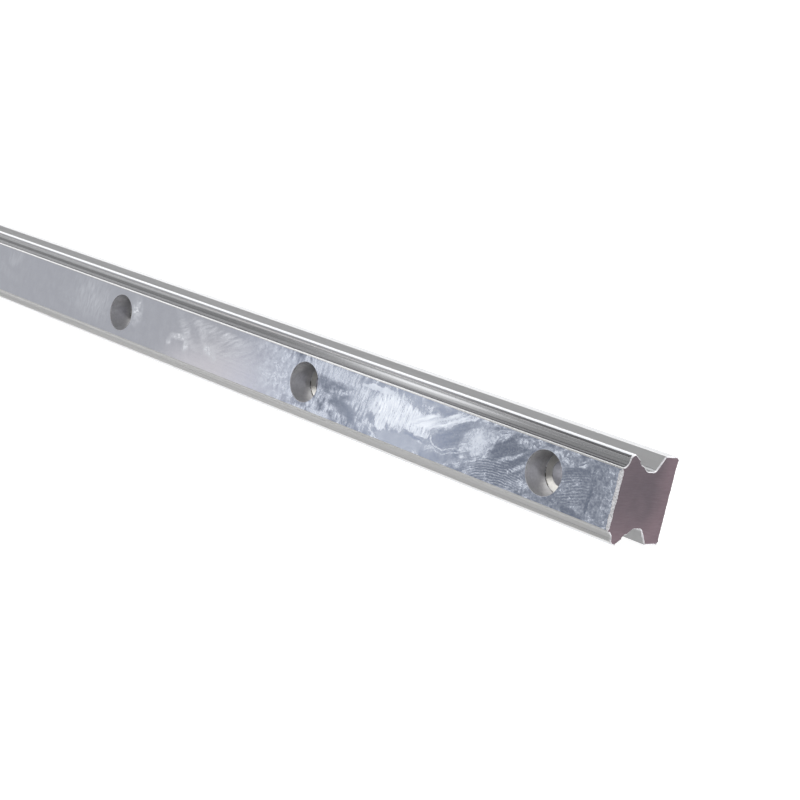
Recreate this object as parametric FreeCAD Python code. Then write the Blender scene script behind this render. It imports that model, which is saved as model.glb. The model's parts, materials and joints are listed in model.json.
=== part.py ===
"""Linear guide rail: one ground steel bar with ball grooves and a row of counterbored screw holes.

Millimetres. The bar lies along X with its base on Z = 0 and its top face up, centred on the origin.
"""
import FreeCAD, Part

import math
import os

from FreeCAD import Vector

# The bar
RAIL_LENGTH = 450.0
RAIL_WIDTH = 15.0
RAIL_HEIGHT = 15.0
END_BEVEL = 0.4

# The head, from the top face down and from the nose in
TOP_BEVEL = 0.25
GROOVE_RADIUS = 1.4
UPPER_GROOVE_WIDTH = 1.6
UPPER_GROOVE_DROP = 1.25
LAND_WIDTH = 0.6
LAND_DROP = 0.6
NOSE_HEIGHT = 0.8
FLANK_ANGLE = 56.0
LOWER_GROOVE_WIDTH = 1.5

# The neck, set back from the nose, and the foot, which takes up the rest of the height
NECK_SETBACK = 2.7
NECK_HEIGHT = 2.2
FLARE_HEIGHT = 2.0
FLANK_FILLET = 1.5
FLARE_FILLET = 1.0
BASE_BEVEL = 0.5

# The screw holes, for socket screws with sunk heads
HOLE_PITCH = 60.0
END_DISTANCE = 15.0
SHANK_DIAMETER = 4.5
HEAD_DIAMETER = 7.5
HEAD_DEPTH = 5.3
MOUTH_BEVEL = 0.12


def section_point(y, z):
    return Vector(0, y, z)


def line(start, end):
    return Part.LineSegment(start, end).toShape()


def arc(start, end, radius, bulge):
    """The short arc from start to end; bulge points from the chord towards the arc."""
    chord = end - start
    middle = (start + end) * 0.5
    rise = radius - math.sqrt(radius ** 2 - (chord.Length / 2) ** 2)
    return Part.Arc(start, middle + bulge * rise, end).toShape()


def fillet(before, corner, after, radius):
    """The ends and the edge of a round of this radius between two straight runs that meet in a corner."""
    back = (before - corner).normalize()
    on = (after - corner).normalize()
    half_angle = back.getAngle(on) / 2
    reach = radius / math.tan(half_angle)
    centre = corner + (back + on).normalize() * (radius / math.sin(half_angle))
    start = corner + back * reach
    end = corner + on * reach
    middle = centre + (corner - centre).normalize() * radius
    return start, end, Part.Arc(start, middle, end).toShape()


def side_edges():
    """The edges of the section on the +Y side, from the top face's edge down to the base's."""
    half_width = RAIL_WIDTH / 2
    half_top = half_width - LAND_WIDTH - UPPER_GROOVE_WIDTH
    flank = math.radians(FLANK_ANGLE)

    top_edge = section_point(half_top - TOP_BEVEL, RAIL_HEIGHT)
    groove_top = section_point(half_top, RAIL_HEIGHT - TOP_BEVEL)
    lip = groove_top + section_point(UPPER_GROOVE_WIDTH, -UPPER_GROOVE_DROP)
    nose_top = section_point(half_width, lip.z - LAND_DROP)
    nose_bottom = nose_top - section_point(0, NOSE_HEIGHT)

    down_flank = section_point(-math.cos(flank), -math.sin(flank))
    into_flank = section_point(-math.sin(flank), math.cos(flank))
    flank_length = NECK_SETBACK / math.cos(flank)
    groove_start = nose_bottom + down_flank * (flank_length - LOWER_GROOVE_WIDTH) / 2
    groove_end = nose_bottom + down_flank * (flank_length + LOWER_GROOVE_WIDTH) / 2
    neck_top = nose_bottom + down_flank * flank_length
    neck_bottom = neck_top - section_point(0, NECK_HEIGHT)
    shoulder = section_point(half_width, neck_bottom.z - FLARE_HEIGHT)

    base_bevel = min(BASE_BEVEL, shoulder.z / 2)
    base_side = section_point(half_width, base_bevel)
    base_edge = section_point(half_width - base_bevel, 0)

    upper_chord = lip - groove_top
    into_groove = section_point(upper_chord.z, -upper_chord.y).normalize()
    flank_end, neck_start, flank_round = fillet(groove_end, neck_top, neck_bottom, FLANK_FILLET)
    neck_end, flare_start, flare_round = fillet(neck_top, neck_bottom, shoulder, FLARE_FILLET)

    return [
        line(top_edge, groove_top),
        arc(groove_top, lip, GROOVE_RADIUS, into_groove),
        line(lip, nose_top),
        line(nose_top, nose_bottom),
        line(nose_bottom, groove_start),
        arc(groove_start, groove_end, GROOVE_RADIUS, into_flank),
        line(groove_end, flank_end),
        flank_round,
        line(neck_start, neck_end),
        flare_round,
        line(flare_start, shoulder),
        line(shoulder, base_side),
        line(base_side, base_edge),
    ]


def section_face():
    """The whole section, in the plane X = 0."""
    right = Part.Wire(side_edges())
    left = right.mirror(Vector(0, 0, 0), Vector(0, 1, 0))
    right_ends = right.OrderedVertexes
    left_ends = left.OrderedVertexes
    top = line(left_ends[0].Point, right_ends[0].Point)
    base = line(right_ends[-1].Point, left_ends[-1].Point)
    outline = Part.__sortEdges__(right.Edges + [base] + left.Edges + [top])
    return Part.Face(Part.Wire(outline))


def bar():
    """The plain bar, with its end edges beveled."""
    section = section_face()
    section.translate(Vector(-RAIL_LENGTH / 2, 0, 0))
    blank = section.extrude(Vector(RAIL_LENGTH, 0, 0))
    end_edges = [edge for edge in blank.Edges if abs(edge.CenterOfMass.x) > RAIL_LENGTH / 4]
    return blank.makeChamfer(END_BEVEL, end_edges)


def hole_places():
    """The holes' centres along the bar, from the -X end on, with room left at the other end."""
    room = RAIL_LENGTH - 2 * END_DISTANCE
    spaces = math.floor(round(room / HOLE_PITCH, 6))
    first = END_DISTANCE - RAIL_LENGTH / 2
    return [first + index * HOLE_PITCH for index in range(spaces + 1)]


def hole_cutter():
    """One screw hole standing on the base: shank, sunk head and the beveled mouth, turned about Z."""
    shank = SHANK_DIAMETER / 2
    head = HEAD_DIAMETER / 2
    seat = RAIL_HEIGHT - HEAD_DEPTH
    outline = [
        Vector(0, 0, 0),
        Vector(shank + MOUTH_BEVEL, 0, 0),
        Vector(shank, 0, MOUTH_BEVEL),
        Vector(shank, 0, seat),
        Vector(head, 0, seat),
        Vector(head, 0, RAIL_HEIGHT - MOUTH_BEVEL),
        Vector(head + MOUTH_BEVEL, 0, RAIL_HEIGHT),
        Vector(0, 0, RAIL_HEIGHT),
        Vector(0, 0, 0),
    ]
    profile = Part.Face(Part.makePolygon(outline))
    return profile.revolve(Vector(0, 0, 0), Vector(0, 0, 1), 360)


def guide_rail():
    cutter = hole_cutter()
    cutters = []
    for place in hole_places():
        hole = cutter.copy()
        hole.translate(Vector(place, 0, 0))
        cutters.append(hole)
    return bar().cut(cutters)


def main():
    os.makedirs("parts", exist_ok=True)
    rail = guide_rail()
    rail.Solids[0].exportStep("parts/guide_rail.step")
    print("valid", rail.isValid(), "solids", len(rail.Solids), "volume", round(rail.Volume, 1))


main()
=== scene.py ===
"""Looks of the linear guide rail: ground steel with an oil film, wipe marks, burred ends and turned holes.

Metres, in the part's own frame: the rail lies along X, its base on Z = 0 and its top face up. The rail's own
sizes are named in millimetres. Its near end is the one at +X.
"""

import json
import math
import random
from collections import namedtuple

import bmesh
import bpy
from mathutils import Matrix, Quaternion, Vector, noise


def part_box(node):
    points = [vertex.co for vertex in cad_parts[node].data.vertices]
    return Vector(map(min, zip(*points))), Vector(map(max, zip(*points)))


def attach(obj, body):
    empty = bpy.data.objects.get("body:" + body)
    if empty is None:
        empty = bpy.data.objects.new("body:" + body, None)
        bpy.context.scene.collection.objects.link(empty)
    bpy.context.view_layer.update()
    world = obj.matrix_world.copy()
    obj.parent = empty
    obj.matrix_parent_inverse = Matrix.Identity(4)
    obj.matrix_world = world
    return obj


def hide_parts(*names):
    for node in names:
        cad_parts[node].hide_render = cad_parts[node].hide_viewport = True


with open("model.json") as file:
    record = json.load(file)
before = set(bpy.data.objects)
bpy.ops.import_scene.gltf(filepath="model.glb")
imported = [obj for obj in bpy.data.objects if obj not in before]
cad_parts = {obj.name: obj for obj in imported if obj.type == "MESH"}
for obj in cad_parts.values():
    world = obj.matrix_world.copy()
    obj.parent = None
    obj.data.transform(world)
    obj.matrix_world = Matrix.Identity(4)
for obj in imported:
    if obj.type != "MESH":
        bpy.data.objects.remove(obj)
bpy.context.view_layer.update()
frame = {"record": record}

MM = 0.001
RAIL_NODE = "guide_rail"
rail_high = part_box(RAIL_NODE)[1] / MM
RAIL_END = rail_high.x
RAIL_HEIGHT = rail_high.z
HALF_WIDTH = rail_high.y

# The section, in millimetres, the same as the solid's
TOP_BEVEL = 0.25
GROOVE_RADIUS = 1.4
UPPER_GROOVE_WIDTH = 1.6
UPPER_GROOVE_DROP = 1.25
LAND_WIDTH = 0.6
LAND_DROP = 0.6
NOSE_HEIGHT = 0.8
FLANK_ANGLE = 56.0
LOWER_GROOVE_WIDTH = 1.5
NECK_SETBACK = 2.7
NECK_HEIGHT = 2.2
FLARE_HEIGHT = 2.0
FLANK_FILLET = 1.5
FLARE_FILLET = 1.0
BASE_BEVEL = 0.5

# The screw holes, in millimetres, and how many sides their circles have
HEAD_RADIUS = 3.75
HEAD_DEPTH = 5.3
SEAT_HEIGHT = RAIL_HEIGHT - HEAD_DEPTH
MOUTH_BEVEL = 0.12
SEAT_CORNER = 0.1
HOLE_SIDES = 96
# The rings that ease a hole's edges: how far each lies from the edge on the first face and on the next, in
# shares of the bevel's width
MOUTH_RINGS = [(1.0, 0.0), (0.72, 0.12), (0.3, 0.5), (0.0, 1.1)]
EDGE_RINGS = [(1.0, 0.0), (0.3, 0.3), (0.0, 1.0)]
# The zone between each ring of a hole and the next
HOLE_ZONES = ["mouth"] * 3 + ["bore"] * 3 + ["seat"] + ["rim"] * 2 + ["shank", "mouth"]

# How finely the mesh follows the section, in millimetres, and the fewest parts of a straight run and an arc
SECTION_STEP = 0.12
BASE_STEP = 0.24
STRAIGHT_PARTS = 2
ARC_PARTS = 4

# How far the section's edges are eased, in millimetres, where a nose or groove starts and elsewhere, and in
# how many parts
ZONE_ROUNDS = {"nose": 0.32, "groove": 0.12}
EDGE_ROUND = 0.05
EDGE_PARTS = 4
# How near each other two points count as one, in millimetres
SAME_POINT = 1e-6
# The turn below which two runs of the section are in line, and the one above which two faces meet sharply
SMOOTH_TURN = math.radians(12)
SHARP_TURN = math.radians(32)

# The ends: how long the burred collar is, and how wide each zone's end bevel is, in millimetres
COLLAR = 1.2
END_BEVELS = {
    "top": 0.45,
    "bevel": 0.25,
    "groove": 0.14,
    "land": 0.22,
    "nose": 0.2,
    "flank": 0.15,
    "neck": 0.14,
    "flare": 0.2,
    "foot": 0.18,
    "base_bevel": 0.18,
    "base": 0.35,
    "edge": 0.2,
}
# The -Y side's grooves and edges are zones of their own, duller than those of the +Y side, and with tints
# that are painted light and shade of the -Y side
DULL_SIDE = {zone: "dull_" + zone for zone in ("bevel", "edge", "groove", "land")}
END_BEVELS.update({dull: END_BEVELS[zone] for zone, dull in DULL_SIDE.items()})
# Share of the bevel's width left to the end, and share of its inset, ring by ring
BEVEL_RINGS = [(1.0, 0.0), (0.72, 0.18), (0.22, 0.7), (0.0, 1.0)]
# How the bevel's width wavers round the section: how close together the waves are, and how strong
BEVEL_WAVES = [(0.7, 0.3), (4.5, 0.35)]
WAVE_SEED_STEP = 7
END_SEED = 3
# Over how many steps to each side that width is evened out, its least value, and how it grows off a corner
EVENED_STEPS = 4
NARROWEST_BEVEL = 0.05
CORNER_SLOPE = 2


def section_point(y, z):
    return Vector((y, z))


def straight(start, end):
    """Points along a straight run of the section, both ends included."""
    parts = max(STRAIGHT_PARTS, round((end - start).length / SECTION_STEP))
    return [start.lerp(end, index / parts) for index in range(parts + 1)]


def turned(centre, start, end):
    """Points along the short arc about a centre, both ends included."""
    spoke = start - centre
    sweep = spoke.angle_signed(end - centre)
    parts = max(ARC_PARTS, round(abs(sweep) * spoke.length / SECTION_STEP))
    points = []
    for index in range(parts + 1):
        angle = -sweep * index / parts
        across = section_point(
            spoke.x * math.cos(angle) - spoke.y * math.sin(angle),
            spoke.x * math.sin(angle) + spoke.y * math.cos(angle),
        )
        points.append(centre + across)
    return points


def hollow(start, end, radius, out):
    """A groove's arc between two points; out points away from the steel."""
    chord = end - start
    stand_off = math.sqrt(radius ** 2 - (chord.length / 2) ** 2)
    return turned((start + end) / 2 + out.normalized() * stand_off, start, end)


def fillet(before, corner, after, radius):
    """The arc that rounds a hollow corner between two straight runs."""
    back = (before - corner).normalized()
    on = (after - corner).normalized()
    half_angle = back.angle(on) / 2
    reach = radius / math.tan(half_angle)
    centre = corner + (back + on).normalized() * (radius / math.sin(half_angle))
    return turned(centre, corner + back * reach, corner + on * reach)


def side_runs():
    """The section on the +Y side from the top face's edge to the base's: runs of (zone, points)."""
    half_top = HALF_WIDTH - LAND_WIDTH - UPPER_GROOVE_WIDTH
    flank = math.radians(FLANK_ANGLE)
    top_edge = section_point(half_top - TOP_BEVEL, RAIL_HEIGHT)
    groove_top = section_point(half_top, RAIL_HEIGHT - TOP_BEVEL)
    lip = groove_top + section_point(UPPER_GROOVE_WIDTH, -UPPER_GROOVE_DROP)
    nose_top = section_point(HALF_WIDTH, lip.y - LAND_DROP)
    nose_bottom = nose_top - section_point(0, NOSE_HEIGHT)

    down_flank = section_point(-math.cos(flank), -math.sin(flank))
    flank_length = NECK_SETBACK / math.cos(flank)
    race_start = nose_bottom + down_flank * (flank_length - LOWER_GROOVE_WIDTH) / 2
    race_end = nose_bottom + down_flank * (flank_length + LOWER_GROOVE_WIDTH) / 2
    neck_top = nose_bottom + down_flank * flank_length
    neck_bottom = neck_top - section_point(0, NECK_HEIGHT)
    shoulder = section_point(HALF_WIDTH, neck_bottom.y - FLARE_HEIGHT)
    base_side = section_point(HALF_WIDTH, BASE_BEVEL)
    base_edge = section_point(HALF_WIDTH - BASE_BEVEL, 0)

    out_of_groove = section_point(UPPER_GROOVE_DROP, UPPER_GROOVE_WIDTH)
    out_of_race = section_point(math.sin(flank), -math.cos(flank))
    flank_round = fillet(race_end, neck_top, neck_bottom, FLANK_FILLET)
    flare_round = fillet(neck_top, neck_bottom, shoulder, FLARE_FILLET)
    return [
        ("bevel", straight(top_edge, groove_top)),
        ("groove", hollow(groove_top, lip, GROOVE_RADIUS, out_of_groove)),
        ("land", straight(lip, nose_top)),
        ("nose", straight(nose_top, nose_bottom)),
        ("flank", straight(nose_bottom, race_start)),
        ("groove", hollow(race_start, race_end, GROOVE_RADIUS, out_of_race)),
        ("flank", straight(race_end, flank_round[0])),
        ("neck", flank_round),
        ("neck", straight(flank_round[-1], flare_round[0])),
        ("neck", flare_round),
        ("flare", straight(flare_round[-1], shoulder)),
        ("foot", straight(shoulder, base_side)),
        ("base_bevel", straight(base_side, base_edge)),
    ]


Corner = namedtuple("Corner", "zone points reach")


def eased_corner(zone, before, corner, after):
    """The round that leads into the run of a zone, or the bare point where the runs are in line."""
    if (corner - before).angle(after - corner) < SMOOTH_TURN:
        return Corner(zone, [corner], 0)
    reach = ZONE_ROUNDS.get(zone, EDGE_ROUND)
    start = corner + (before - corner).normalized() * reach
    end = corner + (after - corner).normalized() * reach
    points = []
    for index in range(EDGE_PARTS + 1):
        share = index / EDGE_PARTS
        points.append(start.lerp(corner, share).lerp(corner.lerp(end, share), share))
    return Corner("nose" if zone == "nose" else "edge", points, reach)


def side_outline():
    """The +Y side's points from top to base, with eased corners, and the zone of each step between them."""
    runs = side_runs()
    top_run = ("top", [section_point(0, RAIL_HEIGHT), runs[0][1][0]])
    base_run = ("base", [runs[-1][1][-1], section_point(0, 0)])
    all_runs = [top_run] + runs + [base_run]
    corners = []
    for (_, run_before), (zone, run) in zip(all_runs, all_runs[1:]):
        corners.append(eased_corner(zone, run_before[-2], run[0], run[1]))

    points = list(corners[0].points)
    zones = [corners[0].zone] * (len(points) - 1)
    for (zone, run), opening, closing in zip(runs, corners, corners[1:]):
        clear_start = opening.reach + SAME_POINT
        clear_end = closing.reach + SAME_POINT
        for point in run:
            if (point - run[0]).length > clear_start and (point - run[-1]).length > clear_end:
                points.append(point)
                zones.append(zone)
        points += closing.points
        zones += [zone] + [closing.zone] * (len(closing.points) - 1)
    return points, zones


def face_row(start, end, parts):
    """Points between the two edges of the top or base face, ends left out."""
    return [start.lerp(end, index / parts) for index in range(1, parts)]


def section_loop():
    """The whole section as a closed loop of points with a zone for each step, and where its stretches start.

    The top and the base have an even number of parts, so that each has a point on the middle line.
    """
    side, side_zones = side_outline()
    other = [section_point(-point.x, point.y) for point in reversed(side)]
    other_zones = [DULL_SIDE.get(zone, zone) for zone in reversed(side_zones)]
    top_parts = 2 * round(side[0].x / SECTION_STEP)
    base_parts = 2 * round(side[-1].x / BASE_STEP)
    base = face_row(side[-1], other[0], base_parts)
    top = face_row(other[-1], side[0], top_parts)
    points = side + base + other + top
    zones = side_zones + ["base"] * base_parts + other_zones + ["top"] * top_parts
    starts = {"side": 0, "base": len(side) - 1}
    starts["other"] = starts["base"] + base_parts
    starts["top"] = starts["other"] + len(side) - 1
    return points, zones, starts


def inward(points):
    """The direction into the steel at each point of the loop."""
    directions = []
    for index in range(len(points)):
        along = points[(index + 1) % len(points)] - points[index - 1]
        directions.append(section_point(along.y, -along.x).normalized())
    return directions


def wavering(point, seed):
    """How many times as wide as usual the end bevel is at a point of the section."""
    share = 1
    for index, (closeness, strength) in enumerate(BEVEL_WAVES):
        spot = Vector((point.x * closeness, point.y * closeness, seed + WAVE_SEED_STEP * index))
        share += strength * noise.noise(spot)
    return share


def bevel_widths(points, zones, seed):
    """How wide the end bevel is at each point: by zone, ragged, and narrow at the section's own corners."""
    count = len(points)
    usual = [END_BEVELS[zone] for zone in zones]
    corner_points = [point for point, zone in zip(points, zones) if zone.endswith("edge")]
    widths = []
    for index, point in enumerate(points):
        near = [usual[(index + step) % count] for step in range(-EVENED_STEPS, EVENED_STEPS)]
        ragged = sum(near) / len(near) * wavering(point, seed)
        clear = min((point - corner).length for corner in corner_points)
        widths.append(max(NARROWEST_BEVEL, min(ragged, EDGE_ROUND + CORNER_SLOPE * clear)))
    return widths


def hole_places():
    """The holes' centres along X in millimetres, and their shank radius, from the record's mounts."""
    patterns = [mount for mount in frame["record"]["mounts"] if mount["kind"] == "bolt_pattern"]
    places = []
    for pattern in patterns:
        count = pattern["dims"]["count"]
        for index in range(count):
            step = (index - (count - 1) / 2) * pattern["dims"]["spacing_x_mm"]
            places.append(pattern["pos_m"][0] / MM + step)
    return sorted(places), patterns[0]["dims"]["hole_r_mm"]


def hole_profile(shank):
    """The rings of one hole from its mouth in the top face to its mouth in the base: (radius, height)."""
    rings = []
    for out, down in MOUTH_RINGS:
        rings.append((HEAD_RADIUS + MOUTH_BEVEL * out, RAIL_HEIGHT - MOUTH_BEVEL * down))
    for up, inner in EDGE_RINGS:
        rings.append((HEAD_RADIUS - SEAT_CORNER * inner, SEAT_HEIGHT + SEAT_CORNER * up))
    for out, down in EDGE_RINGS:
        rings.append((shank + MOUTH_BEVEL * out, SEAT_HEIGHT - MOUTH_BEVEL * down))
    return rings + [(shank, MOUTH_BEVEL), (shank + MOUTH_BEVEL, 0.0)]


class RailMesh:
    """Builds the rail's closed mesh: swept section, burred ends and turned holes."""

    def __init__(self, slots):
        self.mesh = bmesh.new()
        self.slots = slots

    def vertex(self, x, y, z):
        return self.mesh.verts.new((x * MM, y * MM, z * MM))

    def face(self, corners, zone):
        made = self.mesh.faces.new(corners)
        made.material_index = self.slots[zone]
        made.smooth = True

    def join(self, near, far, zones):
        """A band of faces between two rings, with a zone for each step round them."""
        count = len(near)
        for index, zone in enumerate(zones):
            after = (index + 1) % count
            self.face([near[index], near[after], far[after], far[index]], zone)

    def end_rings(self, points, zones, side):
        """The rings of one end, from the collar's start to the end face; side is 1 at the +X end."""
        widths = bevel_widths(points, zones, seed=END_SEED * side)
        into = inward(points)
        rings = [[self.vertex(side * (RAIL_END - COLLAR), point.x, point.y) for point in points]]
        for left, inset in BEVEL_RINGS:
            ring = []
            for point, width, direction in zip(points, widths, into):
                moved = point + direction * width * inset
                ring.append(self.vertex(side * (RAIL_END - width * left), moved.x, moved.y))
            rings.append(ring)
        return rings

    def close_end(self, rings, zones):
        """Joins an end's rings, the collar's first, and caps it with the end face."""
        burrs = ["burr"] * len(zones)
        for index, (near, far) in enumerate(zip(rings, rings[1:])):
            self.join(near, far, zones if index == 0 else burrs)
        self.face(rings[-1], "end")

    def circle(self, place, radius, height):
        """A ring of vertices about a hole's axis."""
        ring = []
        for index in range(HOLE_SIDES):
            angle = 2 * math.pi * index / HOLE_SIDES
            ring.append(self.vertex(place + radius * math.cos(angle), radius * math.sin(angle), height))
        return ring

    def hole(self, place, profile):
        """One hole; gives its mouth's vertices in the top face and in the base."""
        rings = [self.circle(place, radius, height) for radius, height in profile]
        for near, far, zone in zip(rings, rings[1:], HOLE_ZONES):
            self.join(near, far, [zone] * HOLE_SIDES)
        return rings[0], rings[-1]

    def pierced(self, low_row, high_row, mouths, zone):
        """A flat face between two rows of points across the bar, in two halves that run round the holes."""
        middle_low = len(low_row) // 2
        middle_high = len(high_row) // 2
        half = HOLE_SIDES // 2
        upper = []
        lower = []
        for mouth in mouths:
            upper += [mouth[half - index] for index in range(half + 1)]
            lower += [mouth[(half + index) % HOLE_SIDES] for index in range(half + 1)]
        start = [low_row[middle_low]]
        self.face(start + upper + high_row[middle_high:] + low_row[:middle_low:-1], zone)
        self.face(start + lower + high_row[middle_high::-1] + low_row[:middle_low], zone)

    def finished(self, name):
        bmesh.ops.recalc_face_normals(self.mesh, faces=self.mesh.faces)
        data = bpy.data.meshes.new(name)
        self.mesh.to_mesh(data)
        self.mesh.free()
        return data


def rail_mesh(slots):
    """The whole rail as one mesh; slots gives each zone's material slot."""
    points, zones, starts = section_loop()
    build = RailMesh(slots)
    low_rings = build.end_rings(points, zones, -1)
    high_rings = build.end_rings(points, zones, 1)
    build.close_end(low_rings, zones)
    build.close_end(high_rings, zones)

    low, high = low_rings[0], high_rings[0]
    for stretch, last in (("side", "base"), ("other", "top")):
        for index in range(starts[stretch], starts[last]):
            build.face([low[index], high[index], high[index + 1], low[index + 1]], zones[index])

    places, shank = hole_places()
    profile = hole_profile(shank)
    mouths = [build.hole(place, profile) for place in places]
    top = slice(starts["top"], None)
    base = slice(starts["base"], starts["other"] + 1)
    build.pierced(low[top] + low[:1], high[top] + high[:1], [mouth[0] for mouth in mouths], "top")
    build.pierced(low[base][::-1], high[base][::-1], [mouth[1] for mouth in mouths], "base")
    return build.finished("guide_rail_visual")


class Nodes:
    """The nodes of a material or world, with short ways to add and join them."""

    def __init__(self, owner, shader):
        owner.use_nodes = True
        self.owner = owner
        self.tree = owner.node_tree
        self.shader = self.tree.nodes[shader]

    def add(self, kind, inputs, **settings):
        """A new node with its settings, and with values or other nodes' outputs on its inputs."""
        node = self.tree.nodes.new(kind)
        for name, value in settings.items():
            setattr(node, name, value)
        for name, value in inputs.items():
            self.feed(node.inputs[name], value)
        return node

    def feed(self, socket, value):
        """Links another node's output to a socket, or sets the socket to a plain value."""
        if isinstance(value, bpy.types.NodeSocket):
            self.tree.links.new(value, socket)
        else:
            socket.default_value = value

    def finish(self, **inputs):
        """Feeds the shader's inputs, named with _ for a space, and gives back the material or world."""
        for name, value in inputs.items():
            self.feed(self.shader.inputs[name.replace("_", " ")], value)
        return self.owner

    def math(self, operation, first, second=0.0, third=0.0):
        return self.add("ShaderNodeMath", {0: first, 1: second, 2: third}, operation=operation).outputs[0]

    def vector_math(self, operation, first, second, third=(0, 0, 0)):
        inputs = {0: first, 1: second, 2: third}
        return self.add("ShaderNodeVectorMath", inputs, operation=operation).outputs[0]

    def ramp(self, value, low, high, start=0.0, end=1.0):
        """A smooth step of a value between two limits."""
        inputs = {"Value": value, "From Min": low, "From Max": high, "To Min": start, "To Max": end}
        return self.add("ShaderNodeMapRange", inputs, interpolation_type="SMOOTHSTEP").outputs[0]

    def mix(self, share, first, second):
        """A mixture of two colours."""
        return self.add("ShaderNodeMix", {0: share, 6: first, 7: second}, data_type="RGBA").outputs[2]

    def blend(self, share, first, second):
        """A mixture of two numbers."""
        return self.add("ShaderNodeMix", {0: share, 2: first, 3: second}).outputs[0]

    def place(self):
        """Where a point of the surface lies on the rail, in millimetres."""
        spot = self.add("ShaderNodeTexCoord", {}).outputs["Object"]
        return self.stretched(spot, (1 / MM, 1 / MM, 1 / MM))

    def stretched(self, place, factors):
        return self.vector_math("MULTIPLY", place, factors)

    def parts(self, place):
        """A place's distances along, across and up."""
        return self.add("ShaderNodeSeparateXYZ", {0: place}).outputs

    def along_rail(self, place, stretch, start=0.0, end=1.0):
        """A smooth step along the rail, over a stretch that is given from the +X end."""
        first, last = stretch
        return self.ramp(self.parts(place)[0], RAIL_END + first, RAIL_END + last, start, end)

    def noise(self, place, scale, detail=3.0, roughness=0.55, distortion=0.0):
        inputs = {"Vector": place, "Scale": scale, "Detail": detail}
        inputs.update({"Roughness": roughness, "Distortion": distortion})
        return self.add("ShaderNodeTexNoise", inputs).outputs[0]

    def drawn_out(self, place, closeness, detail=3.0, roughness=0.55):
        """A noise whose grains have their own closeness along, across and up."""
        return self.noise(self.stretched(place, closeness), 1.0, detail, roughness)

    def bump(self, height, depth):
        inputs = {"Height": height, "Distance": depth * MM, "Strength": 1.0}
        return self.add("ShaderNodeBump", inputs).outputs[0]

    def across(self):
        """The direction across the bar, square to its grinding lines."""
        return self.add("ShaderNodeTangent", {}, direction_type="RADIAL", axis="X").outputs[0]

    def shifted(self, place, coarseness, reach):
        """A place pushed about by a noise, so that what is drawn there gets a ragged outline."""
        inputs = {"Vector": place, "Scale": 1 / coarseness, "Detail": 3.0}
        push = self.add("ShaderNodeTexNoise", inputs).outputs["Color"]
        push = self.vector_math("MULTIPLY_ADD", push, (reach, reach, 0), (-reach / 2, -reach / 2, 0))
        return self.vector_math("ADD", place, push)

    def pushed(self, place, pushes):
        """A place shifted several times, by pairs of coarseness and reach."""
        for coarseness, reach in pushes:
            place = self.shifted(place, coarseness, reach)
        return place

    def seen_from(self, place, centre, size, turn):
        """A place as a mark sees it: from its centre, along its own turned axes, in its own size."""
        inputs = {"Vector": place, "Location": (*centre, 0), "Scale": (*size, 1)}
        inputs["Rotation"] = (0, 0, math.radians(turn))
        return self.add("ShaderNodeMapping", inputs, vector_type="TEXTURE").outputs[0]

    def streaks(self, place, length, pitch, turn):
        """A noise drawn out along one direction across the top face."""
        return self.noise(self.seen_from(place, (0, 0), (length, pitch), turn), 1.0, roughness=0.6)

    def reach(self, place, mark):
        """How far a place lies from a mark's middle: 1 on its ellipse, and MARK_MARGIN far off."""
        size = (mark.along * MARK_MARGIN, mark.across * MARK_MARGIN)
        own = self.seen_from(place, (RAIL_END + mark.x, mark.y), size, mark.turn)
        depth = self.add("ShaderNodeTexGradient", {"Vector": own}, gradient_type="SPHERICAL").outputs["Fac"]
        return self.math("MULTIPLY_ADD", depth, -MARK_MARGIN, MARK_MARGIN)

    def inside(self, place, mark, fray):
        """1 well inside a mark's ellipse, 0 outside it; fray is what roughens its outline."""
        half = mark.soft / 2
        return self.ramp(self.math("ADD", self.reach(place, mark), fray), 1 - half, 1 + half, 1, 0)


def new_material(name):
    return Nodes(bpy.data.materials.new(name), "Principled BSDF")


# Colours of the bare steel, of its dull and rough places, and of the oil on it; some carry painted light and
# shade, as said beside them
STEEL = (0.56, 0.57, 0.60, 1)
# The top steel's bluish tint, stronger towards the +X end, is painted reflection
TOP_STEEL = (0.50, 0.515, 0.57, 1)
BLUE_REFLECTION_TOP_STEEL = (0.40, 0.455, 0.595, 1)
GROOVE_STEEL = (0.53, 0.535, 0.55, 1)
PLAIN_STEEL = (0.43, 0.435, 0.445, 1)
LAND_STEEL = (0.25, 0.25, 0.26, 1)
FLARE_STEEL = (0.385, 0.385, 0.39, 1)
# The -Y side's groove, land and edge tints are painted light and shade of that side: the groove and edge
# darker, the land lighter
OTHER_SIDE_GROOVE_PAINTED_SHADE = (0.43, 0.43, 0.43, 1)
OTHER_SIDE_LAND_PAINTED_LIGHT = (0.56, 0.56, 0.56, 1)
OTHER_SIDE_EDGE_PAINTED_SHADE = (0.36, 0.36, 0.36, 1)
BRIGHT_STEEL = (0.68, 0.68, 0.69, 1)
TORN_STEEL = (0.58, 0.575, 0.58, 1)
MOUTH_STEEL = (0.40, 0.40, 0.42, 1)
BURR_STEEL = (0.72, 0.715, 0.74, 1)
BORE_STEEL = (0.85, 0.85, 0.89, 1)
SEAT_STEEL = (0.52, 0.51, 0.48, 1)
# The cut end's colours are painted shade: dark, and less dark and redder towards the base and the -Y side
CUT_STEEL_PAINTED_SHADE = (0.088, 0.070, 0.083, 1)
REDDER_CUT_STEEL_LESS_PAINTED_SHADE = (0.148, 0.107, 0.124, 1)
GRIME = (0.05, 0.045, 0.04, 1)
# A dark colour: painted shade on the holes' +Y side, and the darkening of their -Y side and of the +Y
# groove's upper wall
DARKENING_AND_PAINTED_SHADE = (0.09, 0.09, 0.095, 1)
FILM = (0.83, 0.86, 0.90, 1)
WHITE = (1, 1, 1, 1)


def shaded(tint, share):
    """A colour made darker or lighter by a share."""
    return (*(min(1, channel * share) for channel in tint[:3]), 1)


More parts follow.
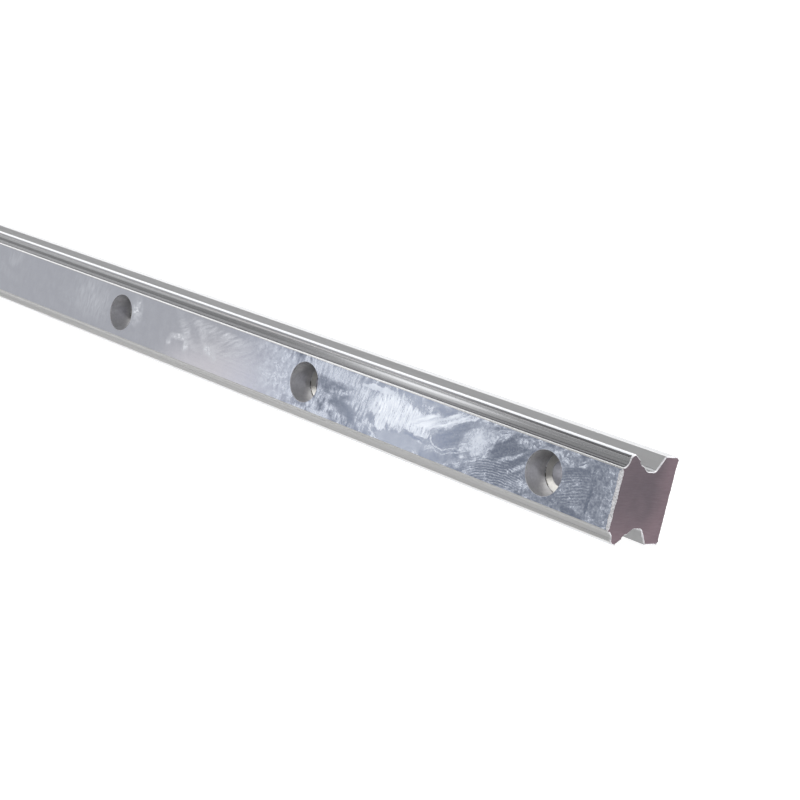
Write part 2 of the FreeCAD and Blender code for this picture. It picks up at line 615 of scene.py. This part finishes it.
# A mark in the oil film on the top face, in millimetres from the +X end and from the middle line: an ellipse,
# turned by some degrees, with a soft outline, in which the film runs from thin to thick along a grain
Mark = namedtuple("Mark", "x y along across turn thin thick grain soft")

NEAR_MARKS = [
    # Clouds and flecks between the second hole and the white smear
    Mark(-67.0, 3.6, 9.0, 1.7, 0, 0.30, 0.52, "cross", 0.8),
    Mark(-66.5, 0.9, 5.5, 1.4, -4, 0.04, 0.26, "fleck", 0.8),
    Mark(-64.0, 0.9, 3.4, 0.5, 12, 0.10, 0.50, "fleck", 0.7),
    Mark(-66.5, -0.8, 3.0, 0.6, 0, 0.10, 0.55, "fleck", 0.7),
    Mark(-63.0, -2.0, 4.2, 1.2, -10, 0.06, 0.22, "cloud", 0.7),
    Mark(-69.0, -4.6, 3.2, 0.6, 0, 0.30, 0.52, "cloud", 0.6),
    # The white smear: its mottled start, its body, its tip, the streak beside it and its tail
    Mark(-58.0, 0.8, 3.8, 2.6, 0, 0.22, 0.62, "cross", 1.0),
    Mark(-51.3, 1.0, 5.0, 2.8, -3, 0.38, 0.96, "brushed", 0.7),
    Mark(-45.6, 0.8, 4.6, 1.9, -6, 0.36, 0.92, "brushed", 0.7),
    Mark(-53.2, -2.1, 1.6, 1.4, -30, 0.42, 0.86, "brushed", 0.5),
    Mark(-55.5, 3.7, 4.2, 0.45, 1, 0.50, 0.70, "cloud", 0.6),
    Mark(-41.0, 1.6, 5.2, 1.2, 14, 0.46, 0.82, "slant", 0.5),
    Mark(-36.6, 3.0, 4.6, 0.7, 22, 0.40, 0.78, "slant", 0.6),
    Mark(-33.0, 4.0, 2.4, 0.35, 24, 0.35, 0.70, "slant", 0.6),
    Mark(-44.2, -1.0, 3.2, 0.9, 0, 0.38, 0.86, "brushed", 0.5),
    # The clean strip beside the smear
    Mark(-48.0, -3.9, 6.2, 1.35, 4, 0.27, 0.35, "cloud", 0.4),
    Mark(-44.5, -2.4, 2.8, 0.18, -3, 0.02, 0.12, "cloud", 0.6),
    Mark(-54.6, -4.6, 1.5, 0.22, -35, 0.35, 0.55, "cloud", 0.6),
    # Clean wipes and the streaks between them, up to the first hole
    Mark(-37.5, -3.7, 4.0, 1.1, 12, 0.06, 0.28, "cloud", 0.6),
    Mark(-36.4, 0.0, 3.5, 1.6, 32, 0.00, 0.20, "slant", 0.5),
    Mark(-34.2, 1.8, 2.4, 0.9, 35, 0.00, 0.20, "slant", 0.6),
    Mark(-29.8, 1.2, 3.0, 2.5, 35, 0.42, 0.56, "cloud", 1.4),
    Mark(-27.2, 0.2, 1.9, 0.30, 55, 0.30, 0.65, "fleck", 0.8),
    Mark(-22.5, 0.6, 5.2, 3.0, 30, 0.00, 0.20, "slant", 0.8),
    Mark(-23.6, 2.0, 3.7, 1.0, 36, 0.00, 0.12, "slant", 0.4),
    Mark(-22.3, 0.6, 3.4, 0.42, 28, 0.26, 0.46, "slant", 1.0),
    Mark(-22.6, -0.8, 3.2, 0.7, 28, 0.00, 0.12, "slant", 0.45),
    Mark(-20.6, -1.0, 2.3, 0.36, 30, 0.34, 0.54, "slant", 1.0),
    Mark(-19.0, 4.0, 3.0, 0.9, 8, 0.12, 0.50, "fleck", 0.7),
    # Between the first hole and the end
    Mark(-12.5, -4.0, 5.0, 1.6, 0, 0.06, 0.30, "fleck", 1.0),
    Mark(-4.0, 1.0, 3.0, 5.8, 0, 0.06, 0.30, "fleck", 1.0),
    Mark(-1.6, 0.0, 1.3, 5.8, 0, 0.10, 0.40, "fleck", 0.6),
    Mark(-11.5, 3.6, 2.3, 0.9, -10, 0.14, 0.58, "fleck", 0.7),
    Mark(-8.6, 2.0, 2.6, 0.8, 18, 0.00, 0.14, "slant", 0.5),
    Mark(-4.9, -1.4, 0.38, 2.7, -4, 0.00, 0.06, "cross", 0.6),
    Mark(-8.4, -4.4, 1.6, 0.65, 0, 0.00, 0.10, "fleck", 0.35),
    # Round the second hole and beyond it
    Mark(-84.0, 0.2, 7.0, 4.6, -20, 0.22, 0.52, "fleck", 1.2),
    Mark(-91.0, 1.8, 5.5, 1.8, 4, 0.12, 0.44, "fleck", 1.2),
    Mark(-106.5, 3.4, 4.2, 0.9, -2, 0.02, 0.52, "slant", 1.5),
    Mark(-98.0, 3.2, 3.4, 0.8, -5, 0.02, 0.50, "slant", 1.5),
    Mark(-106.8, 1.8, 1.4, 0.8, -30, 0.02, 0.56, "fleck", 1.5),
    Mark(-97.0, 0.6, 9.5, 2.2, 4, 0.00, 0.40, "slant", 1.6),
    Mark(-103.6, -0.9, 2.4, 0.8, -24, 0.02, 0.60, "fleck", 1.5),
    Mark(-112.0, 1.2, 4.0, 1.0, -40, 0.00, 0.44, "slant", 1.6),
    Mark(-114.2, -0.4, 2.6, 0.6, 8, 0.04, 0.60, "fleck", 1.2),
    Mark(-111.6, -1.8, 0.8, 1.2, 0, 0.04, 0.55, "fleck", 1.2),
    Mark(-117.4, -2.2, 0.7, 1.0, 0, 0.02, 0.46, "fleck", 1.2),
    Mark(-129.7, 1.6, 1.6, 2.6, 0, 0.02, 0.56, "fleck", 1.2),
    Mark(-146.0, 1.0, 6.0, 4.2, 0, 0.02, 0.30, "cross", 1.2),
]
FINGERPRINTS = [
    Mark(-25.5, -3.0, 6.2, 2.2, 8, 0.00, 0.32, "ridge", 0.9),
    Mark(-9.0, -0.6, 3.4, 2.8, 20, 0.06, 0.28, "ridge", 0.9),
]
# Bright rims that a wiping cloth left: the ellipse that each follows, and the part of it that shows
RIMS = [
    (
        Mark(-36.8, -0.3, 4.2, 1.9, 14, 0.42, 0.60, "fleck", 0.10),
        Mark(-38.6, -1.9, 4.2, 1.6, 0, 0, 1, "fleck", 0.5),
    ),
    (
        Mark(-36.2, -0.4, 4.6, 2.5, 16, 0.34, 0.50, "fleck", 0.08),
        Mark(-37.0, -2.6, 4.2, 1.0, 12, 0, 1, "fleck", 0.5),
    ),
]

# How far off a mark is still told from farther places, in sizes of its ellipse, and how frayed its outline is
MARK_MARGIN = 2.2
FRAY = 0.8
# A fingerprint's ridges: how far apart they are, in millimetres, how they bend along the finger, and how high
# up their wave is cut flat
RIDGE_PITCH = 0.46
RIDGE_BEND = 0.03
RIDGE_TOP = 0.8
# Pushes that make outlines ragged and ridges wavy: how coarse they are, and how far they reach
RAGGED_PUSHES = [(4.0, 1.6), (0.9, 0.25)]
WAVY_PUSHES = [(2.6, 1.1), (0.5, 0.16)]

# Stretches from the +X end: where handling sets in, thickening the film and bringing in the painted bluish
# reflection, where wipes turn aslant and where specks get thicker
HANDLED_AND_BLUE_REFLECTION = (-104, -76)
WIPED_ASLANT = (-46, -36)
SPECKLED = (-90, -8)
# Where marks are drawn at random beyond the near ones
STRAY_PLACES = range(-430, -155, 17)
STRAY_SEED = 4

# The part of a noise's range that is used: in most places, in a mark's grain, in worn prints and in specks
USUAL_RANGE = (0.3, 0.7)
GRAIN_RANGE = (0.28, 0.72)
PRINT_RANGE = (0.3, 0.6)
SPECK_RANGE = (0.3, 0.75)
# The film's thickness between the marks, untouched and handled, and how clouds, wipes and specks change it
PLAIN_FILM = (0.04, 0.26)
CLOUD_GAIN = (0.25, 1.75)
WIPE_GAIN = (0.5, 1.45)
ASLANT_GAIN = 1.05
SPECK_GAIN = (-0.08, 0.17)
FEWEST_SPECKS = 0.15


def stray_marks():
    """Wipes, smears and flecks on the stretch beyond the near marks."""
    draw = random.Random(STRAY_SEED)
    marks = []
    for x in STRAY_PLACES:
        grain = draw.choice(["cloud", "cross", "slant", "fleck"])
        thin = draw.uniform(0.0, 0.08)
        thick = thin + draw.uniform(0.1, 0.35)
        size = draw.uniform(3, 9), draw.uniform(0.5, 3)
        place = x + draw.uniform(-6, 6), draw.uniform(-4, 4)
        turn = draw.uniform(-30, 30)
        marks.append(Mark(*place, *size, turn, thin, thick, grain, soft=0.7))
    return marks


def film_grains(nodes, flat, ragged):
    """The noises that the film's thickness follows, by name."""
    return {
        "cloud": nodes.noise(ragged, scale=0.45, roughness=0.6),
        "fleck": nodes.noise(flat, scale=1.15, detail=4.0, roughness=0.62, distortion=0.8),
        "cross": nodes.streaks(ragged, length=2.6, pitch=0.5, turn=84),
        "brushed": nodes.streaks(ragged, length=2.2, pitch=0.3, turn=84),
        "slant": nodes.streaks(ragged, length=5.0, pitch=0.55, turn=27),
    }


def plain_film(nodes, flat, grains, handled):
    """The film between the marks: thicker where it was handled, cloudy, and wiped across or aslant."""
    aslant = nodes.along_rail(flat, WIPED_ASLANT)
    wipes = nodes.blend(aslant, grains["cross"], grains["slant"])
    thickness = nodes.ramp(handled, 0, 1, *PLAIN_FILM)
    film = nodes.math("MULTIPLY", thickness, nodes.ramp(aslant, 0, 1, 1, ASLANT_GAIN))
    film = nodes.math("MULTIPLY", film, nodes.ramp(grains["cloud"], *USUAL_RANGE, *CLOUD_GAIN))
    return nodes.math("MULTIPLY", film, nodes.ramp(wipes, *USUAL_RANGE, *WIPE_GAIN))


def fingerprint(nodes, place, mark):
    """The ridges of a fingertip, from 0 in the furrows to 1 on the ridges."""
    own = nodes.seen_from(place, (RAIL_END + mark.x, mark.y), (1, 1), mark.turn)
    along, across, _ = nodes.parts(own)
    bend = nodes.math("MULTIPLY", nodes.math("MULTIPLY", along, along), RIDGE_BEND)
    height = nodes.math("ADD", across, bend)
    wave = nodes.math("SINE", nodes.math("MULTIPLY", height, 2 * math.pi / RIDGE_PITCH))
    return nodes.ramp(wave, -RIDGE_TOP, RIDGE_TOP)


def oil_film(nodes, place, handled):
    """How thick the dried oil lies on the top face, from 0 on bare steel to 1 in a white smear."""
    flat = nodes.stretched(place, (1, 1, 0))
    ragged = nodes.pushed(flat, RAGGED_PUSHES)
    grains = film_grains(nodes, flat, ragged)
    fray = nodes.math("MULTIPLY_ADD", nodes.noise(ragged, scale=0.6, detail=1.5), FRAY, -FRAY / 2)
    film = plain_film(nodes, flat, grains, handled)
    for mark in stray_marks() + NEAR_MARKS:
        level = nodes.ramp(grains[mark.grain], *GRAIN_RANGE, mark.thin, mark.thick)
        film = nodes.blend(nodes.inside(ragged, mark, fray), film, level)
    wavy = nodes.pushed(flat, WAVY_PUSHES)
    for mark in FINGERPRINTS:
        level = nodes.ramp(fingerprint(nodes, wavy, mark), 0, 1, mark.thin, mark.thick)
        touched = nodes.inside(ragged, mark, fray)
        shown = nodes.math("MULTIPLY", touched, nodes.ramp(grains["fleck"], *PRINT_RANGE))
        film = nodes.blend(shown, film, level)
    for rim, window in RIMS:
        off_rim = nodes.math("ABSOLUTE", nodes.math("SUBTRACT", nodes.reach(ragged, rim), 1.0))
        line = nodes.ramp(off_rim, 0, rim.soft, 1, 0)
        shown = nodes.math("MULTIPLY", line, nodes.inside(ragged, window, fray))
        level = nodes.ramp(grains[rim.grain], *GRAIN_RANGE, rim.thin, rim.thick)
        film = nodes.blend(shown, film, level)
    specks = nodes.ramp(nodes.noise(flat, scale=2.4, roughness=0.7), *SPECK_RANGE, *SPECK_GAIN)
    speckled = nodes.along_rail(flat, SPECKLED, FEWEST_SPECKS, 1)
    return nodes.math("ADD", film, nodes.math("MULTIPLY", specks, speckled))


# The top face: the closeness and depth of its grinding lines, and how they and the film change its gloss
TOP_LINES = (0.05, 7, 0)
TOP_LINE_DEPTH = 0.001
TOP_LINE_ROUGHNESS = 0.04
FILM_ROUGHNESS = (0.06, 0.5)
FILM_METALLIC = (1.0, 0.52)
TOP_ANISOTROPY = 0.5


def top_steel():
    """Ground steel under a smeared film of dried oil, thicker where it was handled, with a bluish tint that
    is painted reflection and grows towards the +X end.
    """
    nodes = new_material("top_steel")
    place = nodes.place()
    handled = nodes.along_rail(place, HANDLED_AND_BLUE_REFLECTION)
    film = oil_film(nodes, place, handled)
    # Painted reflection: the steel turns bluer towards the +X end
    steel = nodes.mix(handled, TOP_STEEL, BLUE_REFLECTION_TOP_STEEL)
    lines = nodes.drawn_out(place, TOP_LINES)
    line_roughness = nodes.ramp(lines, *USUAL_RANGE, 0, TOP_LINE_ROUGHNESS)
    return nodes.finish(
        Base_Color=nodes.mix(film, steel, FILM),
        Metallic=nodes.ramp(film, 0, 1, *FILM_METALLIC),
        Roughness=nodes.math("ADD", nodes.ramp(film, 0, 1, *FILM_ROUGHNESS), line_roughness),
        Normal=nodes.bump(lines, TOP_LINE_DEPTH),
        Anisotropic=TOP_ANISOTROPY,
        Tangent=nodes.across(),
    )


# Ground sides: the closeness and share of their fine and broad lines, the lines' depth and change of gloss
FINE_LINES = (0.02, 9, 9)
FINE_SHARE = 0.6
BROAD_LINES = (0.012, 2.2, 2.2)
BROAD_SHARE = 0.4
LINE_RANGE = (0.35, 0.65)
LINE_DEPTH = 0.0008
LINE_ROUGHNESS = (0.75, 1.3)
LINE_ANISOTROPY = 0.6
# Darkening along the upper wall of the +Y side's groove: the heights over which it sets in, in millimetres
UPPER_WALL_DARKENING_HEIGHT = (13.6, 14.05)


def ground_steel(name, tint, roughness, contrast, upper_wall_darkening=0.0, metallic=1.0):
    """Steel with fine lines along the bar, whose groove's upper wall can be made darker by a given share."""
    nodes = new_material(name)
    place = nodes.place()
    fine = nodes.drawn_out(place, FINE_LINES, detail=2.0, roughness=0.6)
    broad = nodes.drawn_out(place, BROAD_LINES, detail=2.0)
    fine_part = nodes.math("MULTIPLY", fine, FINE_SHARE)
    broad_part = nodes.math("MULTIPLY", broad, BROAD_SHARE)
    lines = nodes.math("ADD", fine_part, broad_part)
    dark = shaded(tint, 1 - contrast)
    bright = shaded(tint, 1 + contrast)
    color = nodes.mix(nodes.ramp(lines, *LINE_RANGE), dark, bright)
    if upper_wall_darkening:
        darker_wall = nodes.ramp(nodes.parts(place)[2], *UPPER_WALL_DARKENING_HEIGHT, 0, upper_wall_darkening)
        color = nodes.mix(darker_wall, color, DARKENING_AND_PAINTED_SHADE)
    least, most = LINE_ROUGHNESS
    return nodes.finish(
        Base_Color=color,
        Metallic=metallic,
        Roughness=nodes.ramp(lines, *USUAL_RANGE, roughness * least, roughness * most),
        Normal=nodes.bump(lines, LINE_DEPTH),
        Anisotropic=LINE_ANISOTROPY,
        Tangent=nodes.across(),
    )


# Satin steel: the closeness of its clouds, and how dark they are
SATIN_CLOUDS = (0.03, 0.8, 0.8)
SATIN_SHADE = 0.93


def satin_steel(name, tint, roughness, metallic=1.0):
    """Steel that is evenly dull or bright, without grinding lines."""
    nodes = new_material(name)
    cloud = nodes.drawn_out(nodes.place(), SATIN_CLOUDS, detail=2.0)
    return nodes.finish(
        Base_Color=nodes.mix(nodes.ramp(cloud, *USUAL_RANGE), shaded(tint, SATIN_SHADE), tint),
        Metallic=metallic,
        Roughness=roughness,
    )


# Torn steel: the range and depth of its grain, how dark its pits are, and how the grain changes its gloss
TORN_RANGE = (0.32, 0.6)
TORN_DEPTH = 0.03
TORN_SHADE = 0.55
TORN_ROUGHNESS = (1.3, 0.8)


def rough_edge(name, tint, roughness, metallic):
    """A broken edge or a burr: torn, uneven steel."""
    nodes = new_material(name)
    torn = nodes.noise(nodes.place(), scale=5.0, detail=4.0, roughness=0.65)
    in_pits, on_peaks = TORN_ROUGHNESS
    return nodes.finish(
        Base_Color=nodes.mix(nodes.ramp(torn, *TORN_RANGE), shaded(tint, TORN_SHADE), tint),
        Metallic=metallic,
        Roughness=nodes.ramp(torn, *USUAL_RANGE, roughness * in_pits, roughness * on_peaks),
        Normal=nodes.bump(torn, TORN_DEPTH),
    )


# The cut end: the closeness, bend, range and depth of the disc's lines, and the face's gloss
CUT_LINES = (0, 7, 0.35)
CUT_LINE_PUSH = (9.0, 2.0)
CUT_LINE_RANGE = (0.35, 0.7)
CUT_LINE_DEPTH = 0.002
CUT_ROUGHNESS = (0.45, 0.6)
CUT_METALLIC = 0.9
# The heights and distances across, in millimetres, over which the cut end's painted shade grows lighter and
# redder, and what adds how much
LESS_PAINTED_SHADE_HEIGHT = (6, 0)
LESS_PAINTED_SHADE_ACROSS = (-0.5, -8.0)
LESS_PAINTED_SHADE_SHARE = 0.8
RED_CLOUD_SHARE = 0.25
RED_LINE_SHARE = 0.12


def cut_end():
    """The dull face that a cutting disc leaves, dark with painted shade that grows lighter and redder towards
    the base and the -Y side.
    """
    nodes = new_material("cut_end")
    place = nodes.place()
    cloud = nodes.noise(place, scale=0.22)
    arcs = nodes.drawn_out(nodes.shifted(place, *CUT_LINE_PUSH), CUT_LINES)
    _, across, up = nodes.parts(place)
    tone_and_painted_light = nodes.math("MULTIPLY", nodes.ramp(cloud, *USUAL_RANGE), RED_CLOUD_SHARE)
    # Painted shade: the cut end is made lighter and redder towards the base and towards the -Y side
    tone_and_painted_light = nodes.math("ADD", tone_and_painted_light, nodes.ramp(up, *LESS_PAINTED_SHADE_HEIGHT, 0, LESS_PAINTED_SHADE_SHARE))
    tone_and_painted_light = nodes.math("ADD", tone_and_painted_light, nodes.ramp(across, *LESS_PAINTED_SHADE_ACROSS, 0, LESS_PAINTED_SHADE_SHARE))
    tone_and_painted_light = nodes.math("ADD", tone_and_painted_light, nodes.ramp(arcs, *CUT_LINE_RANGE, 0, RED_LINE_SHARE))
    return nodes.finish(
        Base_Color=nodes.mix(tone_and_painted_light, CUT_STEEL_PAINTED_SHADE, REDDER_CUT_STEEL_LESS_PAINTED_SHADE),
        Metallic=CUT_METALLIC,
        Roughness=nodes.ramp(arcs, *USUAL_RANGE, *CUT_ROUGHNESS),
        Normal=nodes.bump(arcs, CUT_LINE_DEPTH),
    )


# Turned holes: the closeness, depth and change of gloss of the tool's rings, and how dark the patches are
TOOL_RINGS = (0.25, 0.25, 9)
TOOL_RING_DEPTH = 0.002
TOOL_RING_ROUGHNESS = (0.8, 1.25)
PATCH_SHADE = 0.86
# Grime in the seat's corner: its reach in millimetres, the patches that it lies in, its least share, and the
# distances across the hole over which it grows from that to all
GRIME_REACH = (0.06, 0.22)
GRIME_RANGE = (0.42, 0.56)
GRIME_LEAST = 0.3
GRIME_GROWS = (0.8, -0.4)
# Painted shade on a hole's +Y side, and a darkening of its -Y side: over which distances across the hole each
# sets in, and how dark it gets
PAINTED_SHADE_SETS_IN = (0.0, 2.2)
PAINTED_SHADE_SHARE = 0.34
OTHER_SIDE_DARKENING_SETS_IN = (-0.8, -3.6)
OTHER_SIDE_DARKENING_SHARE = 0.22


def off_seat_corner(nodes, along, across, up):
    """How far a place lies from the corner between the nearest hole's wall and its seat."""
    places, _ = hole_places()
    half_pitch = (places[1] - places[0]) / 2
    off_middle = nodes.math("WRAP", nodes.math("SUBTRACT", along, places[0]), half_pitch, -half_pitch)
    squares = nodes.math("MULTIPLY_ADD", across, across, nodes.math("MULTIPLY", off_middle, off_middle))
    off_wall = nodes.math("SUBTRACT", HEAD_RADIUS, nodes.math("SQRT", squares))
    off_seat = nodes.math("SUBTRACT", up, SEAT_HEIGHT)
    return nodes.math("ADD", nodes.math("ABSOLUTE", off_wall), nodes.math("ABSOLUTE", off_seat))


def turned_steel(name, tint, roughness, metallic):
    """The drilled walls and seats: fine turning rings, painted shade on the +Y side, a darkening of the -Y
    side, and a line of grime in the seat's corner.
    """
    nodes = new_material(name)
    place = nodes.place()
    along, across, up = nodes.parts(place)
    rings = nodes.drawn_out(place, TOOL_RINGS, roughness=0.65)
    patches = nodes.noise(place, scale=2.2, detail=4.0, roughness=0.65)
    # Painted shade darkens the holes' +Y side; the -Y side is darkened less
    oil = nodes.ramp(across, *PAINTED_SHADE_SETS_IN, 0, PAINTED_SHADE_SHARE)
    other_side_darkening = nodes.ramp(across, *OTHER_SIDE_DARKENING_SETS_IN, 0, OTHER_SIDE_DARKENING_SHARE)
    grime = nodes.ramp(off_seat_corner(nodes, along, across, up), *GRIME_REACH, 1, 0)
    grime = nodes.math("MULTIPLY", grime, nodes.ramp(patches, *GRIME_RANGE))
    grime = nodes.math("MULTIPLY", grime, nodes.ramp(across, *GRIME_GROWS, GRIME_LEAST, 1))
    steel = nodes.mix(nodes.ramp(patches, *USUAL_RANGE), shaded(tint, PATCH_SHADE), tint)
    steel = nodes.mix(nodes.math("ADD", oil, other_side_darkening), steel, DARKENING_AND_PAINTED_SHADE)
    least, most = TOOL_RING_ROUGHNESS
    return nodes.finish(
        Base_Color=nodes.mix(grime, steel, GRIME),
        Metallic=metallic,
        Roughness=nodes.ramp(rings, *USUAL_RANGE, roughness * least, roughness * most),
        Normal=nodes.bump(rings, TOOL_RING_DEPTH),
    )


def rail_materials():
    """The materials by zone."""
    side = ground_steel("side_steel", STEEL, roughness=0.2, contrast=0.1)
    plain = ground_steel("plain_steel", PLAIN_STEEL, roughness=0.32, contrast=0.06)
    dull = {"roughness": 0.33, "contrast": 0.16, "metallic": 0.75}
    edge = satin_steel("edge_steel", BRIGHT_STEEL, roughness=0.25)
    dull_edge = satin_steel("dull_edge_steel_painted_shade", OTHER_SIDE_EDGE_PAINTED_SHADE, roughness=0.4)
    bore = turned_steel("bore_steel", BORE_STEEL, roughness=0.42, metallic=0.9)
    return {
        "top": top_steel(),
        "bevel": edge,
        "groove": ground_steel("groove_steel", GROOVE_STEEL, roughness=0.16, contrast=0.1, upper_wall_darkening=0.9),
        "land": ground_steel("land_steel", LAND_STEEL, roughness=0.2, contrast=0.25),
        "nose": side,
        "flank": side,
        "neck": plain,
        "flare": satin_steel("flare_steel", FLARE_STEEL, roughness=0.5, metallic=0.85),
        "foot": plain,
        "base_bevel": plain,
        "base": plain,
        "edge": edge,
        # Painted light and shade: the -Y side's own tints
        "dull_bevel": dull_edge,
        "dull_edge": dull_edge,
        "dull_groove": ground_steel("dull_groove_steel_painted_shade", OTHER_SIDE_GROOVE_PAINTED_SHADE, **dull),
        "dull_land": ground_steel("dull_land_steel_painted_light", OTHER_SIDE_LAND_PAINTED_LIGHT, **dull),
        "burr": rough_edge("burr_steel", BURR_STEEL, roughness=0.4, metallic=0.8),
        "end": cut_end(),
        "mouth": rough_edge("mouth_steel", MOUTH_STEEL, roughness=0.45, metallic=0.7),
        "bore": bore,
        "seat": turned_steel("seat_steel", SEAT_STEEL, roughness=0.6, metallic=0.0),
        "rim": rough_edge("rim_steel", TORN_STEEL, roughness=0.35, metallic=0.75),
        "shank": bore,
    }


def new_object(name, data):
    """A new object in the scene."""
    made = bpy.data.objects.new(name, data)
    bpy.context.scene.collection.objects.link(made)
    return made


def turned_object(name, data, rotation):
    """A new object in the scene, turned by a quaternion."""
    made = new_object(name, data)
    made.rotation_mode = "QUATERNION"
    made.rotation_quaternion = rotation
    return made


def make_rail():
    """The rail as one dressed object, which takes the solid's place in the pictures."""
    by_zone = rail_materials()
    materials = []
    for material in by_zone.values():
        if material not in materials:
            materials.append(material)
    slots = {zone: materials.index(material) for zone, material in by_zone.items()}
    data = rail_mesh(slots)
    for material in materials:
        data.materials.append(material)
    data.set_sharp_from_angle(angle=SHARP_TURN)
    rail = new_object("guide_rail_steel", data)
    weighted = rail.modifiers.new("flat_faces_stay_flat", "WEIGHTED_NORMAL")
    weighted.keep_sharp = True
    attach(rail, "root")
    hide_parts(RAIL_NODE)


# The floor, in metres, and how much it glows of itself, so that it stays pale under the lights
FLOOR_SIZE = 60.0
FLOOR_COLOR = (0.5, 0.5, 0.5, 1)
FLOOR_ROUGHNESS = 0.9
FLOOR_GLOW = 0.75


def make_floor():
    """A wide, pale floor under the rail."""
    nodes = new_material("pale_floor")
    glow = {"Emission_Color": WHITE, "Emission_Strength": FLOOR_GLOW}
    pale = nodes.finish(Base_Color=FLOOR_COLOR, Roughness=FLOOR_ROUGHNESS, **glow)
    data = bpy.data.meshes.new("floor")
    half = FLOOR_SIZE / 2
    corners = [(-half, -half, 0), (half, -half, 0), (half, half, 0), (-half, half, 0)]
    data.from_pydata(corners, [], [(0, 1, 2, 3)])
    data.materials.append(pale)
    floor = new_object("floor", data)


# The studio's brightness, low down and overhead, and how high the overhead part starts
SKY_LOW = 0.36
SKY_HIGH = 0.42
SKY_STEP = (math.sin(math.radians(57)), math.sin(math.radians(64)))

# A strip light arched over the rail, square to it: how far along X its directions lean, how wide its core and
# its glow are, and its brightness
ARCH_LEAN = -0.667
ARCH_CORE = 0.008
ARCH_GLOW = 0.042
ARCH_BRIGHTNESS = 2.0
# The weaker stretch where the arch passes over the top face, and how it fades towards the +Y and the -Y side,
# all by the directions' distance across the rail
ARCH_WEAK_AT = -0.14
ARCH_WEAK_REACH = (0.06, 0.25)
ARCH_WEAK_SHARE = 0.21
ARCH_FADE = (0.25, 0.6)
ARCH_FADED_SHARE = 0.4
ARCH_OTHER_FADE = (-0.5, -0.25)
ARCH_OTHER_SHARE = 0.15


def arch_light(nodes, along, across):
    """The strip light's brightness in a direction."""
    off_arch = nodes.math("ABSOLUTE", nodes.math("SUBTRACT", along, ARCH_LEAN))
    off_weak = nodes.math("ABSOLUTE", nodes.math("SUBTRACT", across, ARCH_WEAK_AT))
    arch = nodes.ramp(off_arch, ARCH_CORE, ARCH_GLOW, ARCH_BRIGHTNESS, 0)
    arch = nodes.math("MULTIPLY", arch, nodes.ramp(off_weak, *ARCH_WEAK_REACH, ARCH_WEAK_SHARE, 1))
    arch = nodes.math("MULTIPLY", arch, nodes.ramp(across, *ARCH_FADE, 1, ARCH_FADED_SHARE))
    return nodes.math("MULTIPLY", arch, nodes.ramp(across, *ARCH_OTHER_FADE, ARCH_OTHER_SHARE, 1))


def make_world():
    """A grey studio, lighter overhead, with an arched strip light."""
    nodes = Nodes(bpy.data.worlds.new("studio"), "Background")
    along, across, up = nodes.parts(nodes.add("ShaderNodeTexCoord", {}).outputs["Generated"])
    sky = nodes.ramp(up, *SKY_STEP, SKY_LOW, SKY_HIGH)
    brightness = nodes.math("ADD", arch_light(nodes, along, across), sky)
    bpy.context.scene.world = nodes.finish(Color=WHITE, Strength=brightness)


def sun(name, energy, angle, toward):
    """A far light of an angle in degrees, shining from a direction; it doesn't show in the steel itself."""
    light = bpy.data.lights.new(name, "SUN")
    light.energy = energy
    light.angle = math.radians(angle)
    lamp = turned_object(name, light, Vector(toward).to_track_quat("Z", "Y"))
    lamp.visible_glossy = False


# What the softboxes stand round and how far off, in metres, and the colours of their light
LIGHT_AIM = Vector((0.16, 0, 0.014))
LIGHT_DISTANCE = 1.2
WHITE_LIGHT = (1, 1, 1)
WARM_LIGHT = (1, 0.86, 0.8)


def softbox(name, turn, elevation, width, height, brightness, color=WHITE_LIGHT):
    """An even rectangular light; its place and size are degrees as the aim sees them, from -X towards +Y."""
    light = bpy.data.lights.new(name, "AREA")
    light.shape = "RECTANGLE"
    light.size = 2 * LIGHT_DISTANCE * math.tan(math.radians(width / 2))
    light.size_y = 2 * LIGHT_DISTANCE * math.tan(math.radians(height / 2))
    light.energy = math.pi * light.size * light.size_y * brightness
    light.color = color
    level = math.cos(math.radians(elevation))
    outward = Vector((-math.cos(math.radians(turn)) * level, math.sin(math.radians(turn)) * level, 0))
    outward.z = math.sin(math.radians(elevation))
    lamp = turned_object(name, light, (-outward).to_track_quat("-Z", "Y"))
    lamp.location = LIGHT_AIM + outward * LIGHT_DISTANCE
    lamp.visible_camera = False


# The camera, in millimetres and degrees
CAMERA_PLACE = Vector((368.51, 42.18, 222.59))
CAMERA_AIM = Vector((175.17, 3.13, 15.0))
CAMERA_ROLL = -85.33
CAMERA_LENS = 72.51
CAMERA_SENSOR = 36.0
CAMERA_NEAREST = 10.0


def make_camera():
    """The photo's view, with the camera rolled about its line of sight."""
    data = bpy.data.cameras.new("camera")
    data.lens = CAMERA_LENS
    data.sensor_width = CAMERA_SENSOR
    data.clip_start = CAMERA_NEAREST * MM
    look = (CAMERA_AIM - CAMERA_PLACE).to_track_quat("-Z", "Y")
    roll = Quaternion((0, 0, 1), math.radians(CAMERA_ROLL))
    camera = turned_object("camera", data, look @ roll)
    camera.location = CAMERA_PLACE * MM
    bpy.context.scene.camera = camera


make_rail()
make_floor()
make_world()
sun("overhead", energy=0.2, angle=60, toward=(0, 0, 1))
sun("side_sun", energy=6.4, angle=9, toward=(0.2, 0.7, 0.69))
softbox("side_panel", turn=52, elevation=20, width=24, height=16, brightness=0.2)
softbox("far_panel", turn=-24, elevation=27, width=56, height=30, brightness=0.35)
softbox("front_panel", turn=190, elevation=36, width=40, height=24, brightness=0.8)
softbox("warm_panel", turn=-13.5, elevation=39.2, width=6.1, height=5.2, brightness=0.45, color=WARM_LIGHT)
softbox("edge_panel", turn=37, elevation=5, width=24, height=11, brightness=0.95)
softbox("low_side_panel", turn=-48, elevation=24, width=50, height=46, brightness=0.45)
make_camera()
bpy.context.scene.view_settings.view_transform = "Standard"
